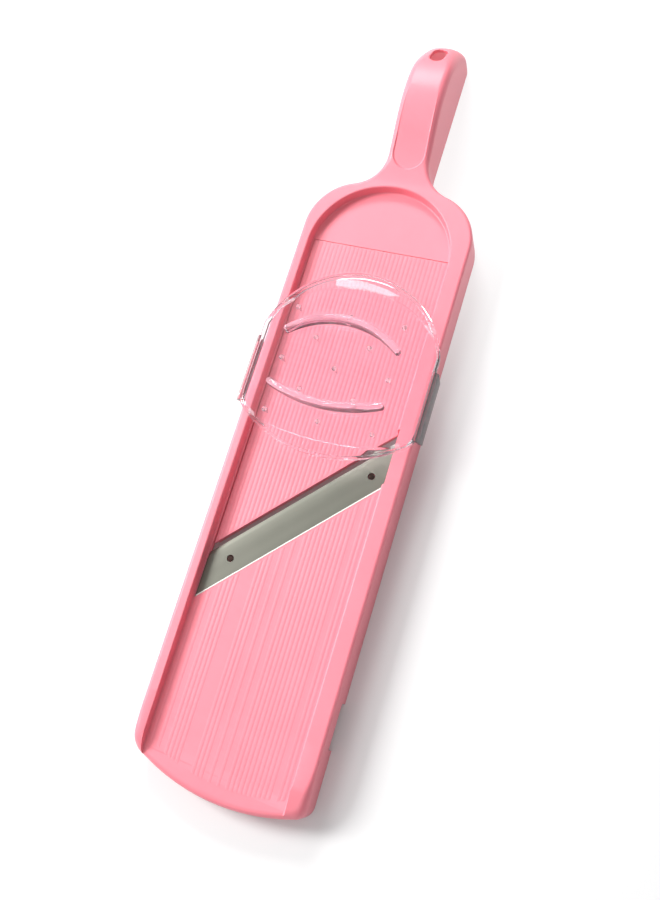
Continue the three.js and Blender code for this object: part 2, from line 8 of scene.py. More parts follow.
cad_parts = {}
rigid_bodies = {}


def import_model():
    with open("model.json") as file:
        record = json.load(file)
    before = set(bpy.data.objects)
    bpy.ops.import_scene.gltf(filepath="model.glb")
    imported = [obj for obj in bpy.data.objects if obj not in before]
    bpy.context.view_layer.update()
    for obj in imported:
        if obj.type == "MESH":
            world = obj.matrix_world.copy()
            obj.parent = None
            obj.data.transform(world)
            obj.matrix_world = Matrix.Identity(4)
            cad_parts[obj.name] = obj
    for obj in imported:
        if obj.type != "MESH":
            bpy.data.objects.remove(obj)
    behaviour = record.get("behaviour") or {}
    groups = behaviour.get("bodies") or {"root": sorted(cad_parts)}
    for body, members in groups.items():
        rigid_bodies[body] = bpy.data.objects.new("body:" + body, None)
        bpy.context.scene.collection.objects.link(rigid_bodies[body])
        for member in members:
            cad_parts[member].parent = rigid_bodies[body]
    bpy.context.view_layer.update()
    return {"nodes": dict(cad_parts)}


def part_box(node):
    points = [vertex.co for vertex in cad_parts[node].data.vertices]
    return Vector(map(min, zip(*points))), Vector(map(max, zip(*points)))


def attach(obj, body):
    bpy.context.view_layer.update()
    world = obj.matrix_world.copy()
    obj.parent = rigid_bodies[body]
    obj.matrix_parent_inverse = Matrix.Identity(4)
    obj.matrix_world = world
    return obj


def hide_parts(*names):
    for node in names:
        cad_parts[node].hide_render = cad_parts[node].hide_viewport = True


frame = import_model()
print("frame loaded")

# Lengths below are millimetres on the slicer itself: x across, y up from the lower end, z up from the table.
mm = 0.001
tipY = 414
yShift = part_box("frame")[1].y / mm - tipY


def at(x, y, z):
    return Vector((x * mm, (y + yShift) * mm, z * mm))


# ---- working tools ----

def only(piece):
    bpy.ops.object.select_all(action="DESELECT")
    piece.select_set(True)
    bpy.context.view_layer.objects.active = piece


def editStep(piece, mode, choose, step):
    # picks vertices, edges or faces in code, then runs one edit mode operator on them
    only(piece)
    bpy.ops.object.mode_set(mode="EDIT")
    bpy.ops.mesh.select_mode(type=mode)
    bpy.ops.mesh.select_all(action="DESELECT")
    bpy.ops.object.mode_set(mode="OBJECT")
    parts = {"VERT": piece.data.vertices, "EDGE": piece.data.edges, "FACE": piece.data.polygons}[mode]
    for part in parts:
        part.select = choose(part)
    bpy.ops.object.mode_set(mode="EDIT")
    step()
    bpy.ops.object.mode_set(mode="OBJECT")


def everything(part):
    return True


def named(piece, name):
    piece.name = name
    piece.data.name = name
    return piece


def outwards(piece):
    editStep(piece, "VERT", everything, lambda: bpy.ops.mesh.remove_doubles(threshold=0.000002))
    editStep(piece, "FACE", everything, lambda: bpy.ops.mesh.normals_make_consistent(inside=False))
    return piece


def settle(piece):
    only(piece)
    bpy.ops.object.transform_apply(location=True, rotation=True, scale=True)
    return piece


def applyLast(piece):
    only(piece)
    bpy.ops.object.modifier_apply(modifier=piece.modifiers[-1].name)
    return piece


def combine(piece, tool, operation):
    only(piece)
    bpy.ops.object.modifier_add(type="BOOLEAN")
    modifier = piece.modifiers[-1]
    modifier.operation = operation
    modifier.solver = "EXACT"
    modifier.object = tool
    applyLast(piece)
    bpy.data.objects.remove(tool)
    return piece


def cut(piece, tool):
    return combine(piece, tool, "DIFFERENCE")


def weld(piece, tool):
    return combine(piece, tool, "UNION")


def gather(pieces):
    # one object from several closed pieces
    only(pieces[0])
    for piece in pieces:
        piece.select_set(True)
    bpy.ops.object.join()
    return pieces[0]


def soften(piece, width, segments=2, angle=35):
    only(piece)
    bpy.ops.object.modifier_add(type="BEVEL")
    modifier = piece.modifiers[-1]
    modifier.width = width * mm
    modifier.segments = segments
    modifier.limit_method = "ANGLE"
    modifier.angle_limit = math.radians(angle)
    modifier.use_clamp_overlap = True
    modifier.harden_normals = False
    return applyLast(piece)


def smoothOff(piece, angle=35, weighted=True):
    only(piece)
    bpy.ops.object.shade_smooth_by_angle(angle=math.radians(angle))
    if weighted:
        bpy.ops.object.modifier_add(type="WEIGHTED_NORMAL")
        piece.modifiers[-1].keep_sharp = True
        applyLast(piece)
    return piece


def smoothStep(low, high, value):
    part = min(max((value - low) / (high - low), 0), 1)
    return part * part * (3 - 2 * part)


# ---- outlines: points with the direction that faces outwards ----

def arcSpan(cx, cy, radius, start, end, count, side=1):
    span = []
    for i in range(count):
        angle = start + (end - start) * i / count
        nx, ny = math.cos(angle), math.sin(angle)
        span.append((cx + radius * nx, cy + radius * ny, side * nx, side * ny))
    return span


def lineSpan(x0, y0, x1, y1, count):
    length = math.hypot(x1 - x0, y1 - y0)
    nx, ny = (y1 - y0) / length, (x0 - x1) / length
    return [(x0 + (x1 - x0) * i / count, y0 + (y1 - y0) * i / count, nx, ny) for i in range(count)]


def polygonSpans(corners):
    spans = []
    for (x0, y0), (x1, y1) in zip(corners, corners[1:] + corners[:1]):
        spans += lineSpan(x0, y0, x1, y1, 1)
    return spans


def ring(outline, inset, height):
    # the outline moved inwards by inset, at a height; both may change from place to place
    points = []
    for x, y, nx, ny in outline:
        depth = inset(x, y, nx, ny) if callable(inset) else inset
        px, py = x - nx * depth, y - ny * depth
        pz = height(px, py, x, y, nx, ny) if callable(height) else height
        points.append(at(px, py, pz))
    return points


def stack(name, rings, closeTop=None):
    # a circle shaped to the first ring, then extruded and reshaped ring by ring, with both ends closed
    count = len(rings[0])
    bpy.ops.object.select_all(action="DESELECT")
    bpy.ops.mesh.primitive_circle_add(vertices=count, radius=0.01)
    piece = named(bpy.context.object, name)
    settle(piece)
    for level, points in enumerate(rings):
        first = level * count
        if level:
            editStep(piece, "VERT", lambda v: v.index >= first - count, bpy.ops.mesh.extrude_edges_move)
        for i, point in enumerate(points):
            piece.data.vertices[first + i].co = point
    editStep(piece, "VERT", lambda v: v.index < count, bpy.ops.mesh.edge_face_add)
    last = (len(rings) - 1) * count
    if closeTop:
        closeTop(piece, last, count)
    else:
        editStep(piece, "VERT", lambda v: v.index >= last, bpy.ops.mesh.edge_face_add)
    return outwards(piece)


def prism(name, corners, z0, z1):
    outline = polygonSpans(corners)
    return stack(name, [ring(outline, 0, z0), ring(outline, 0, z1)])


def box(x0, x1, y0, y1, z0, z1, round=0):
    bpy.ops.object.select_all(action="DESELECT")
    middle = at((x0 + x1) / 2, (y0 + y1) / 2, (z0 + z1) / 2)
    size = ((x1 - x0) * mm, (y1 - y0) * mm, (z1 - z0) * mm)
    bpy.ops.mesh.primitive_cube_add(size=1, location=middle, scale=size)
    piece = settle(bpy.context.object)
    if round:
        soften(piece, round)
    return piece


def rod(start, end, radius, tipRadius=None, sides=24):
    bpy.ops.object.select_all(action="DESELECT")
    along = end - start
    turn = along.to_track_quat("Z", "Y").to_euler()
    bpy.ops.mesh.primitive_cone_add(
        vertices=sides, radius1=radius * mm, radius2=(radius if tipRadius is None else tipRadius) * mm,
        depth=along.length, location=(start + end) / 2, rotation=turn)
    return settle(bpy.context.object)


# ---- frame ----

frameSizes = {
    "halfWidth": 45, "railTop": 20, "deckTop": 14.5, "skin": 2.5, "wall": 2.2,
    "end": (5, -1.5, 105),              # the lower end's arc: lowest point and radius
    "cornerLeft": 10, "cornerRight": 7,
    "shoulder": (17, 290, 28), "neckRadius": 20, "handleHalf": 11.3,
    "edgeRound": 1.7, "handleRound": 4.2, "tipShare": 2.0, "railEndRound": 4.6, "noseRound": 3.4, "endFall": 4.6,
    "recess": (-39.3, 35.6, 279.5),     # left wall, right wall, where the dome starts
    "floorFillet": 0.9, "wallDraft": 0.35, "railRound": 0.9,
}
hump = {"start": (320, 20), "top": (371, 33.3), "startPull": 18, "topPull": 21, "tipPull": 7, "tipRise": 20,
        "tipZ": 6}
bladeSizes = {"angle": 45.6, "midY": 136.4, "width": 16.2, "left": -38.5, "right": 36.6, "seatZ": 13.3,
              "throat": 3.2, "seatBack": 3.6, "pocket": 1.4, "gap": 0.3}
infeedSizes = {"left": -38.3, "right": 35.3, "top": 283.0, "side": 0.2, "topGap": 0.2}
ribs = {"pitch": 2.25, "width": 1.6, "side": 0.2, "height": 0.12, "sunk": 0.3, "fade": 0.9, "endMargin": 8}


def bezier(a, b, c, d, t):
    return a * (1 - t) ** 3 + 3 * b * t * (1 - t) ** 2 + 3 * c * t * t * (1 - t) + d * t ** 3


def humpTop(y):
    # height of the handle's top line at y, on its two curves
    startY, startZ = hump["start"]
    topY, topZ = hump["top"]
    if y <= startY:
        return startZ - frameSizes["endFall"] * (1 - smoothStep(4, 20, y))
    if y < topY:
        ys = (startY, startY + hump["startPull"], topY - hump["topPull"], topY)
        zs = (startZ, startZ + 1, topZ, topZ)
    else:
        ys = (topY, topY + hump["topPull"], tipY - hump["tipPull"], tipY)
        zs = (topZ, topZ, hump["tipRise"], hump["tipZ"])
    low, high = 0.0, 1.0
    for _ in range(30):
        middle = (low + high) / 2
        if bezier(*ys, middle) < y:
            low = middle
        else:
            high = middle
    return bezier(*zs, (low + high) / 2)


def lowerCorner(side, radius):
    endX, endY, endR = frameSizes["end"]
    x = side * (frameSizes["halfWidth"] - radius)
    y = endY + endR - math.sqrt((endR - radius) ** 2 - (x - endX) ** 2)
    return x, y, math.atan2(y - endY - endR, x - endX)


def frameOutline():
    endX, endY, endR = frameSizes["end"]
    half = frameSizes["halfWidth"]
    leftX, leftY, leftAngle = lowerCorner(-1, frameSizes["cornerLeft"])
    rightX, rightY, rightAngle = lowerCorner(1, frameSizes["cornerRight"])
    sx, sy, sr = frameSizes["shoulder"]
    neckR = frameSizes["neckRadius"]
    grip = frameSizes["handleHalf"]
    neckX = grip + neckR
    neckY = sy + math.sqrt((sr + neckR) ** 2 - (neckX - sx) ** 2)
    neckAngle = math.atan2(neckY - sy, neckX - sx)
    tipStart = tipY - grip
    right = (
        arcSpan(sx, sy, sr, 0, neckAngle, 26)
        + arcSpan(neckX, neckY, neckR, neckAngle + math.pi, math.pi, 18, -1)
        + lineSpan(grip, neckY, grip, tipStart, 22))
    left = (
        lineSpan(-grip, tipStart, -grip, neckY, 22)
        + arcSpan(-neckX, neckY, neckR, 0, -neckAngle, 18, -1)
        + arcSpan(-sx, sy, sr, math.pi - neckAngle, math.pi, 26))
    lower = (
        lineSpan(-half, sy, -half, 40, 1) + lineSpan(-half, 40, -half, leftY, 10)
        + arcSpan(leftX, leftY, frameSizes["cornerLeft"], -math.pi, leftAngle, 14)
        + arcSpan(endX, endY + endR, endR, leftAngle, rightAngle, 48)
        + arcSpan(rightX, rightY, frameSizes["cornerRight"], rightAngle, 0, 14)
        + lineSpan(half, rightY, half, 40, 10) + lineSpan(half, 40, half, sy, 1))
    head = right + arcSpan(0, tipStart, grip, 0, math.pi, 28) + left
    return head + lower, len(head)


def closeAcross(apex, foot=None):
    # rungs between the two sides of a ring, from its point apex down to its point foot or to its open end
    def close(piece, first, count):
        tips = [tip for tip in (apex, foot) if tip is not None]
        steps = (1,) if foot is None else (1, count - 1)
        side = lambda i: i >= first and i - first not in tips
        rungs = lambda edge: (all(side(i) for i in edge.vertices)
                              and abs(edge.vertices[0] - edge.vertices[1]) in steps)
        editStep(piece, "EDGE", rungs, lambda: bpy.ops.mesh.bridge_edge_loops(type="SINGLE"))
        for tip in tips:
            near = [first + (tip + step) % count for step in (-1, 0, 1)]
            editStep(piece, "VERT", lambda v: v.index in near, bpy.ops.mesh.edge_face_add)

    return close


outline, headCount = frameOutline()
closeBoard = closeAcross(headCount // 2, headCount // 2 + len(outline) // 2)


def boardRings(top, insetAll, roundOf, foot, steps=5):
    rings = [ring(outline, insetAll, foot)]
    for i in range(steps + 1):
        angle = math.radians(90) * i / steps
        rings.append(ring(
            outline,
            lambda x, y, nx, ny: insetAll + roundOf(x, y, ny) * (1 - math.cos(angle)),
            lambda px, py, x, y, nx, ny: max(top(py) - roundOf(x, y, ny) * (1 - math.sin(angle)), 0.15)))
    return rings


def edgeRound(x, y, ny):
    # small on the rails, larger on the handle and where the rails end
    onHandle = smoothStep(312, 350, y) + frameSizes["tipShare"] * smoothStep(382, 404, y)
    atEnd = 1 - smoothStep(8, 30, y)
    small = frameSizes["edgeRound"]
    return small + (frameSizes["handleRound"] - small) * onHandle + (frameSizes["railEndRound"] - small) * atEnd


def recessOutline(from_y=-14):
    left, right, domeY = frameSizes["recess"]
    middle, radius = (left + right) / 2, (right - left) / 2
    return (lineSpan(right, from_y, right, domeY, 2) + arcSpan(middle, domeY, radius, 0, math.pi, 56)
            + lineSpan(left, domeY, left, from_y, 2) + lineSpan(left, from_y, right, from_y, 1))


def recessCutter():
    area = recessOutline()
    fillet, draft, rounding = frameSizes["floorFillet"], frameSizes["wallDraft"], frameSizes["railRound"]
    deck, rail = frameSizes["deckTop"], frameSizes["railTop"]
    rings = [ring(area, fillet, deck - frameSizes["noseRound"] - 0.6)]
    for angle in (0, 30, 60, 90):
        sweep = math.radians(angle)
        rings.append(ring(area, fillet * (1 - math.sin(sweep)), deck + fillet * (1 - math.cos(sweep))))
    for angle in (0, 22, 45, 68, 90):
        sweep = math.radians(angle)
        out = -draft - rounding * (1 - math.cos(sweep))
        rings.append(ring(area, out, rail - rounding * (1 - math.sin(sweep)) + 0.01))
    rings.append(ring(area, -draft - rounding - 0.3, rail + 0.03))
    rings.append(ring(area, -draft - rounding - 0.3, rail + 25))
    return stack("recessCutter", rings)


slope = math.tan(math.radians(bladeSizes["angle"]))
bladeEdge = bladeSizes["width"] / 2
seatFront = bladeEdge - bladeSizes["seatBack"]
plateEdge = bladeEdge + bladeSizes["throat"]


def slantY(offset, x):
    # y of a line parallel to the blade, offset from its middle line
    return bladeSizes["midY"] + offset / math.cos(math.radians(bladeSizes["angle"])) + x * slope


def diagonalBand(x0, x1, start, end):
    return [(x0, slantY(start, x0)), (x1, slantY(start, x1)), (x1, slantY(end, x1)), (x0, slantY(end, x0))]


def ribComb(name, x0, x1, lowEnd, highEnd, z):
    # one rounded rib with faded ends, repeated across the deck
    count = int((x1 - x0) / ribs["pitch"])
    first = (x0 + x1) / 2 - (count - 1) * ribs["pitch"] / 2
    half, height, sunk, fade = ribs["width"] / 2, ribs["height"], ribs["sunk"], ribs["fade"]
    crown = half - ribs["side"]
    section = [(-half, -sunk), (half, -sunk), (half, 0), (crown, height), (-crown, height), (-half, 0)]
    bars = []
    for i in range(count):
        x = first + i * ribs["pitch"]
        ends = [(lowEnd, 0, 0.05), (lowEnd, fade, 1), (highEnd, -fade / 2, 1), (highEnd, 0, 0.3)]
        rings = [[at(x + dx, end(x + dx) + shift, z + (dz * part if dz > 0 else dz)) for dx, dz in section]
                 for end, shift, part in ends]
        bars.append(stack(f"{name}{i}", rings))
    return gather(bars)


hangHole = {"y": 395.4, "halfWidth": 3.9, "halfLength": 6.4, "rim": 0.9}
thumbPad = {"y": 337, "half": 9.3, "endY": 388, "depth": 0.8, "wall": 1.2}
underside = {"ribFoot": 6.5, "rib": 1.8, "boardRibs": (28, 72, 301), "handleRibs": (342, 366),
             "lugXs": (-33.5, -9.5, 14.5, 31), "lugWidth": 3, "bossX": (36.2, 43.5), "bossZ": (6.9, 10.2)}
notch = {"y": (37, 59), "height": 7, "round": 0.8}
hinge = {"y": 279.4, "z": 9.3, "radius": 1.25, "knuckle": 2.8}
dial = {"x": -1.5, "y": 222, "screwX": 39.4, "screwY": 10, "pinY": 208}


def hangCutter():
    y, half, reach = hangHole["y"], hangHole["halfWidth"], hangHole["halfLength"] - hangHole["halfWidth"]
    oval = (arcSpan(0, y - reach, half, math.pi, 2 * math.pi, 18) + lineSpan(half, y - reach, half, y + reach, 5)
            + arcSpan(0, y + reach, half, 0, math.pi, 18) + lineSpan(-half, y + reach, -half, y - reach, 5))
    rim = hangHole["rim"]
    rings = [ring(oval, 0, -1)]
    for angle in (0, 25, 50, 75):
        sweep = math.radians(angle)
        rings.append(ring(oval, -rim * (1 - math.cos(sweep)),
                          lambda px, py, *rest: humpTop(py) - rim * (1 - math.sin(sweep))))
    rings.append(ring(oval, -rim - 0.6, lambda px, py, *rest: humpTop(py) + 0.6))
    rings.append(ring(oval, -rim - 0.6, 50))
    return stack("hangCutter", rings)


def padCutter():
    # shallow thumb recess that fades out up the handle
    y, half, endY = thumbPad["y"], thumbPad["half"], thumbPad["endY"]
    shape = (lineSpan(-half, endY, -half, y, 20) + arcSpan(0, y, half, math.pi, 2 * math.pi, 28)
             + lineSpan(half, y, half, endY, 20) + [(half, endY, 1, 0)])
    head = len(shape) - 1

    def sunk(px, py, *rest):
        return humpTop(py) - thumbPad["depth"] + (thumbPad["depth"] + 0.3) * smoothStep(345, 384, py)

    # upside down, so that the curved face is the one closed with rungs
    rings = [ring(shape, -0.3, 60), ring(shape, -0.3, lambda px, py, *rest: humpTop(py) + 0.35),
             ring(shape, thumbPad["wall"], sunk)]
    return stack("padCutter", rings, closeAcross(head // 2))


def deckRibs():
    endX, endY, endR = frameSizes["end"]
    reach = endR - ribs["endMargin"]
    lowEnd = lambda x: endY + endR - math.sqrt(reach ** 2 - (x - endX) ** 2)
    highEnd = lambda x: slantY(-bladeEdge - 1.2, x)
    left, right, _ = frameSizes["recess"]
    return ribComb("deckRib", left + 1.2, right - 1.2, lowEnd, highEnd, frameSizes["deckTop"])


def stiffening():
    # deep beam under the blade, cross ribs, hinge lugs and the blocks that the dial's bridge is screwed to
    foot, wide = underside["ribFoot"], underside["rib"]
    inside = frameSizes["halfWidth"] - 1.2
    pieces = [prism("bladeBeam", diagonalBand(-inside, inside, -3.4, seatFront), foot, bladeSizes["seatZ"])]
    for y in underside["boardRibs"]:
        reach = inside if y < 290 else 38
        pieces.append(box(-reach, reach, y, y + wide, foot, 13, 0.3))
    for y in underside["handleRibs"]:
        pieces.append(box(-10, 10, y, y + wide, foot, 22, 0.3))
    lugTop = infeedSizes["top"] + infeedSizes["topGap"] + 0.4
    lugFoot = hinge["z"] - hinge["knuckle"] - 0.3
    for x in underside["lugXs"]:
        wide = underside["lugWidth"]
        lug = weld(box(x, x + wide, hinge["y"] - 3, 291, lugFoot, 11.4), box(x, x + wide, lugTop, 291, lugFoot, 12.6))
        soften(lug, 0.35)
        cut(lug, rod(at(x - 1, hinge["y"], hinge["z"]), at(x + 4, hinge["y"], hinge["z"]), hinge["radius"] + 0.3))
        pieces.append(lug)
    inner, outer = underside["bossX"]
    for side in (-1, 1):
        for end in (-1, 1):
            x, y = side * dial["screwX"], dial["y"] + end * dial["screwY"]
            x0, x1 = sorted((side * inner, side * outer))
            boss = box(x0, x1, y - 3.4, y + 3.4, *underside["bossZ"], 0.4)
            cut(boss, rod(at(x, y, 5), at(x, y, 9.9), 1.55))
            pieces.append(boss)
    return pieces


def makeFrame():
    rail, deck, skin = frameSizes["railTop"], frameSizes["deckTop"], frameSizes["skin"]
    body = stack("frame_moulding", boardRings(humpTop, 0, edgeRound, 0), closeBoard)
    cut(body, recessCutter())
    nose = lambda x, y, ny: frameSizes["noseRound"]
    slab = stack("deckSlab", boardRings(lambda y: deck, 0.02, nose, 0.02), closeBoard)
    weld(body, cut(slab, box(-60, 60, 325, 430, -5, 40)))
    ceiling = lambda y: deck - skin if y < hump["start"][0] else humpTop(y) - skin
    inner = lambda x, y, ny: max(0.6, edgeRound(x, y, ny) - frameSizes["wall"])
    hollowRings = boardRings(ceiling, frameSizes["wall"], inner, -1, 4)
    cut(body, stack("hollow", hollowRings, closeBoard))
    cut(body, padCutter())
    cut(body, hangCutter())
    print("board, handle and hollow made")
    windowTop = infeedSizes["top"] + infeedSizes["topGap"]
    left, right = infeedSizes["left"] - infeedSizes["side"], infeedSizes["right"] + infeedSizes["side"]
    window = [(left, slantY(seatFront, left)), (right, slantY(seatFront, right)),
              (right, windowTop), (left, windowTop)]
    cut(body, prism("window", window, -1, 30))
    pocketRight = frameSizes["recess"][1] + bladeSizes["pocket"]
    pocket = diagonalBand(bladeSizes["left"] - 0.3, pocketRight, -bladeEdge - 0.06, plateEdge)
    cut(body, prism("pocket", pocket, bladeSizes["seatZ"], 30))
    low, high = notch["y"]
    cut(body, box(-60, 60, low, high, -2, notch["height"], notch["round"]))
    pieces = gather([body, deckRibs()] + stiffening())
    print("ribs and stiffening made")
    for x in (-27.2, 28.8):
        y = slantY(-0.3, x)
        cut(pieces, rod(at(x, y, 5.8), at(x, y, 14), 1.35))
    return named(smoothOff(pieces), "frame_moulding")


def handOver(piece, node, body, finish):
    # gives the finished piece its finish, hides the imported node that it stands for and hangs it on the body it
    # moves with
    piece.data.materials.clear()
    piece.data.materials.append(finish)
    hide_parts(node)
    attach(piece, body)


def paint(piece, finish, choose):
    # gives the chosen faces a finish of their own
    only(piece)
    bpy.ops.object.material_slot_add()
    piece.active_material = finish
    editStep(piece, "FACE", choose, bpy.ops.object.material_slot_assign)


# ---- infeed plate ----

def makeInfeedPlate():
    left, right, top = infeedSizes["left"], infeedSizes["right"], infeedSizes["top"]
    deck = frameSizes["deckTop"]
    under = deck - 2.2
    area = [(left, slantY(plateEdge, left)), (right, slantY(plateEdge, right)), (right, top), (left, top)]
    plate = soften(prism("infeed_moulding", area, under, deck), 0.3)
    lowEnd = lambda x: slantY(plateEdge + 0.7, x)
    pieces = [plate, ribComb("infeedRib", left, right, lowEnd, lambda x: top - 0.6, deck)]
    bar = diagonalBand(left + 1, right - 1, plateEdge + 0.1, plateEdge + 2.5)
    pieces.append(soften(prism("edgeBar", bar, under - 2, under + 0.5), 0.3))
    for x in (left + 5.3, right - 6.9):
        pieces.append(box(x, x + 1.6, 205, 268, under - 1, under + 0.5, 0.25))
    for x in (-26, 3, 22):
        eye = weld(rod(at(x, hinge["y"], hinge["z"]), at(x + 6, hinge["y"], hinge["z"]), hinge["knuckle"], sides=32),
                   box(x, x + 6, hinge["y"] - 1.6, hinge["y"] + 1.6, hinge["z"], under + 0.5))
        soften(eye, 0.2)
        bore = rod(at(x - 1, hinge["y"], hinge["z"]), at(x + 7, hinge["y"], hinge["z"]), hinge["radius"] + 0.3)
        pieces.append(cut(eye, bore))
    boss = soften(rod(at(dial["x"], dial["pinY"], under - 1), at(dial["x"], dial["pinY"], under + 0.5), 3.4), 0.25)
    pieces.append(cut(boss, rod(at(dial["x"], dial["pinY"], 8), at(dial["x"], dial["pinY"], under + 0.3), 2.1)))
    whole = gather(pieces)
    pivot = at(0, hinge["y"], hinge["z"])
    tilt = Matrix.Rotation(math.radians(0.579), 4, "X")
    whole.matrix_world = Matrix.Translation(pivot) @ tilt @ Matrix.Translation(-pivot)
    return named(smoothOff(settle(whole)), "infeed_moulding")


# ---- hand guard ----

guardSizes = {
    "half": 46.5, "corner": 10, "top": (264.7, 48), "topCrease": (257.3, 54), "low": (166.8, 70),
    "lowCrease": (173, 150), "foot": 20.3, "palm": 25, "under": 22.8, "wall": 1.8, "flange": 23.7,
    "middle": (-3.2, 212.1), "spikePitch": 14.2, "spike": (1.5, 0.22, 15.6),
    "ridge": {"half": 1.75, "top": 31.5, "reach": 29, "round": 1.5},
    "clip": {"y": (185, 221), "section": ((46.2, 13.3), (48.3, 13.3), (48.3, 22), (46.5, 25), (45.4, 25),
                                          (45.4, 22.8), (46.2, 22.8))},
}


def guardOutline():
    half, corner = guardSizes["half"], guardSizes["corner"]
    topY, topR = guardSizes["top"]
    lowY, lowR = guardSizes["low"]
    topAngle = math.acos(half / topR)
    centre = lowY + lowR
    cornerX = half - corner
    cornerY = centre - math.sqrt((lowR - corner) ** 2 - cornerX ** 2)
    cornerAngle = math.atan2(cornerY - centre, cornerX)
    shoulderY = topY - topR + topR * math.sin(topAngle)
    return (
        arcSpan(0, centre, lowR, -math.pi - cornerAngle, cornerAngle, 44)
        + arcSpan(cornerX, cornerY, corner, cornerAngle, 0, 14)
        + lineSpan(half, cornerY, half, shoulderY, 12)
        + arcSpan(0, topY - topR, topR, topAngle, math.pi - topAngle, 64)
        + lineSpan(-half, shoulderY, -half, cornerY, 12)
        + arcSpan(-cornerX, cornerY, corner, math.pi, math.pi - cornerAngle, 14))


def creaseDepth(x, y, nx, ny):
    # how far in from the edge the palm plate starts: crescents at both ends, nothing at the sides
    depth = 0
    if ny > 0:
        creaseY, creaseR = guardSizes["topCrease"]
        line = creaseY - creaseR + math.sqrt(max(creaseR ** 2 - x * x, 0))
        depth = y - line
    elif ny < 0:
        creaseY, creaseR = guardSizes["lowCrease"]
        line = creaseY + creaseR - math.sqrt(creaseR ** 2 - x * x)
        depth = line - y
    return max(depth * abs(ny), 0) + 1.3


def guardShell():
    edge = guardOutline()
    foot, flange, palm = guardSizes["foot"], guardSizes["flange"], guardSizes["palm"]
    under, wall = guardSizes["under"], guardSizes["wall"]

    def crest(share):
        # height of the flange, which rises to the palm plate where the crescent is thin
        return lambda px, py, x, y, nx, ny: palm - share - (palm - flange - share) * smoothStep(
            1.4, 4.5, creaseDepth(x, y, nx, ny))

    deep = lambda change: lambda x, y, nx, ny: max(creaseDepth(x, y, nx, ny) + change, 0.9)
    inner = lambda x, y, nx, ny: max(creaseDepth(x, y, nx, ny) - 0.6, wall + 0.15)
    rings = [
        ring(edge, deep(0.9), palm), ring(edge, deep(0.35), palm - 0.12), ring(edge, deep(0), palm - 0.45),
        ring(edge, deep(-0.5), crest(0.55)), ring(edge, 0.85, crest(0.62)), ring(edge, 0.45, crest(0.8)),
        ring(edge, 0.12, crest(1.15)), ring(edge, 0, crest(1.7)), ring(edge, 0, foot + 0.5),
        ring(edge, 0.25, foot + 0.1), ring(edge, 0.6, foot), ring(edge, wall - 0.4, foot),
        ring(edge, wall, foot + 0.3), ring(edge, wall, under - 1.2), ring(edge, inner, under - 0.7),
        ring(edge, lambda *place: inner(*place) + 1.2, under)]
    return stack("guard_moulding", rings)


def fingerRidge(apexY, radius, bow):
    sizes = guardSizes["ridge"]
    half, reach, rounding = sizes["half"], sizes["reach"], sizes["round"]
    midX = guardSizes["middle"][0]
    centre = apexY - bow * radius
    sweep = math.asin(reach / radius)
    start, end = bow * math.pi / 2 - sweep, bow * math.pi / 2 + sweep
    capAt = lambda angle: (midX + radius * math.cos(angle), centre + radius * math.sin(angle))
    band = (arcSpan(midX, centre, radius + half, start, end, 28) + arcSpan(*capAt(end), half, end, end + math.pi, 10)
            + arcSpan(midX, centre, radius - half, end, start, 28, -1)
            + arcSpan(*capAt(start), half, start + math.pi, start + 2 * math.pi, 10))
    fall = lambda px: sizes["top"] - 2.2 * smoothStep(0.55, 1.0, abs(px - midX) / reach)
    rings = [ring(band, -0.1, guardSizes["palm"] - 0.5)]
    for angle in (0, 25, 50, 75, 88):
        turn = math.radians(angle)
        rings.append(ring(band, rounding * (1 - math.cos(turn)),
                          lambda px, *rest: fall(px) - rounding * (1 - math.sin(turn))))
    return stack("ridge", rings)


def sideClip(side):
    low, high = guardSizes["clip"]["y"]
    section = guardSizes["clip"]["section"]
    rings = [[at(side * x, y - (1.5 if z < 20 else 0) * way, z) for x, z in section]
             for y, way in ((low, -1), (high, 1))]
    return soften(stack("clip", rings), 0.3)


def makeGuard():
    guard = guardShell()
    for apexY, radius, bow in ((236.6, 47, 1), (191.6, 75, -1)):
        weld(guard, fingerRidge(apexY, radius, bow))
    for side in (-1, 1):
        weld(guard, sideClip(side))
    midX, midY = guardSizes["middle"]
    root, tip, tipZ = guardSizes["spike"]
    for row in range(-2, 3):
        for column in ((-2, 0, 2) if row % 2 == 0 else (-1, 1)):
            x, y = midX + column * guardSizes["spikePitch"], midY + row * guardSizes["spikePitch"]
            weld(guard, rod(at(x, y, guardSizes["under"] + 0.4), at(x, y, tipZ), root, tip, 14))
    return named(smoothOff(guard, 40), "guard_moulding")


# ---- small parts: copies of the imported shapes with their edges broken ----

def brokenEdges(node, name, width, segments=2):
    only(frame["nodes"][node])
    bpy.ops.object.duplicate()
    piece = named(bpy.context.object, name)
    for label in list(piece.keys()):
        del piece[label]
    bpy.ops.object.parent_clear(type="CLEAR_KEEP_TRANSFORM")
    bpy.ops.mesh.customdata_custom_splitnormals_clear()
    outwards(piece)
    editStep(piece, "FACE", everything, lambda: bpy.ops.mesh.dissolve_limited(angle_limit=math.radians(1)))
    soften(piece, width, segments)
    return smoothOff(piece)


# ---- finishes ----

class Value:
    # one output socket that can be used in sums
    def __init__(self, sheet, socket):
        self.sheet = sheet
        self.socket = socket

    def math(self, operation, first, second):
        return self.sheet.add("ShaderNodeMath", {"operation": operation}, {0: first, 1: second})

    def __add__(self, other):
        return self.math("ADD", self, other)

    def __radd__(self, other):
        return self.math("ADD", other, self)

    def __sub__(self, other):
        return self.math("SUBTRACT", self, other)

    def __rsub__(self, other):
        return self.math("SUBTRACT", other, self)

    def __mul__(self, other):
        return self.math("MULTIPLY", self, other)

    def __rmul__(self, other):
        return self.math("MULTIPLY", other, self)


